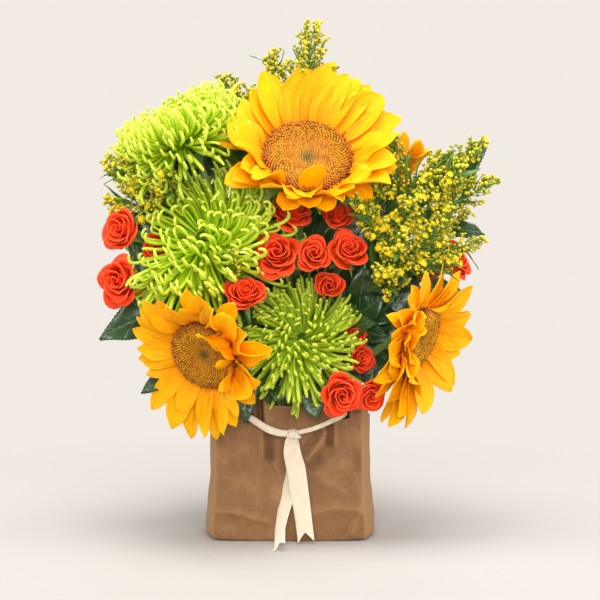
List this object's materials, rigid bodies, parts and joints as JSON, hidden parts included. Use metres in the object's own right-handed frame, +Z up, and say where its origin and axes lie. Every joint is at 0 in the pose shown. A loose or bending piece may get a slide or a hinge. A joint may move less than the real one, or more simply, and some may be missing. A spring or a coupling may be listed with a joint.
{
  "type": "mixed flower bouquet",
  "caption": "Mixed bouquet of sunflowers, spider chrysanthemums, spray roses and goldenrod that stands in a kraft paper bag tied with a cotton ribbon.",
  "frame": {"origin": "middle of the bag's base, on the surface that it stands on", "axes": "+Z up, -Y out of the bag's front with the ribbon's knot, +X to the right as seen from the front"},
  "size_m": [0.3508, 0.2592, 0.4522],
  "materials": {
    "kraft_paper": "matte",
    "ribbon_cotton": "matte",
    "glass": "gloss",
    "water": "gloss",
    "sunflower_petal": "satin",
    "sunflower_disc": "matte",
    "mum_quill": "satin",
    "rose_petal": "satin",
    "goldenrod": "matte",
    "stem_green": "satin",
    "salal_leaf": "satin"
  },
  "bodies": {
    "root": {"glass": "glass", "goldenrod_back": "goldenrod", "goldenrod_left": "goldenrod", "goldenrod_right_high": "goldenrod", "goldenrod_right_low": "goldenrod", "goldenrod_top": "goldenrod", "leaves_back": "salal_leaf", "leaves_left": "salal_leaf", "leaves_right": "salal_leaf", "mum_back": "mum_quill", "mum_back_stem": "stem_green", "mum_back_top": "mum_quill", "mum_back_top_stem": "stem_green", "mum_front": "mum_quill", "mum_front_stem": "stem_green", "mum_middle": "mum_quill", "mum_middle_stem": "stem_green", "mum_top": "mum_quill", "mum_top_stem": "stem_green", "paper_bag": "kraft_paper", "ribbon": "ribbon_cotton", "rose_back_high": "rose_petal", "rose_back_low_left": "rose_petal", "rose_back_low_right": "rose_petal", "rose_back_middle": "rose_petal", "rose_back_right": "rose_petal", "rose_behind_centre": "rose_petal", "rose_centre": "rose_petal", "rose_front": "rose_petal", "rose_left_high": "rose_petal", "rose_left_inner": "rose_petal", "rose_left_low": "rose_petal", "rose_low_pair": "rose_petal", "rose_low_shaded": "rose_petal", "rose_right": "rose_petal", "rose_shaded": "rose_petal", "rose_spray_back_stem": "stem_green", "rose_spray_centre_stem": "stem_green", "rose_spray_front_stem": "stem_green", "rose_spray_left_stem": "stem_green", "rose_spray_low_stem": "stem_green", "rose_spray_right_stem": "stem_green", "rose_under_sunflower": "rose_petal", "sunflower_back_left_disc": "sunflower_disc", "sunflower_back_left_petals": "sunflower_petal", "sunflower_back_left_stem": "stem_green", "sunflower_back_right_disc": "sunflower_disc", "sunflower_back_right_petals": "sunflower_petal", "sunflower_back_right_stem": "stem_green", "sunflower_left_disc": "sunflower_disc", "sunflower_left_petals": "sunflower_petal", "sunflower_left_stem": "stem_green", "sunflower_right_disc": "sunflower_disc", "sunflower_right_petals": "sunflower_petal", "sunflower_right_stem": "stem_green", "sunflower_top_disc": "sunflower_disc", "sunflower_top_petals": "sunflower_petal", "sunflower_top_stem": "stem_green", "water": "water"}
  },
  "joints": []
}
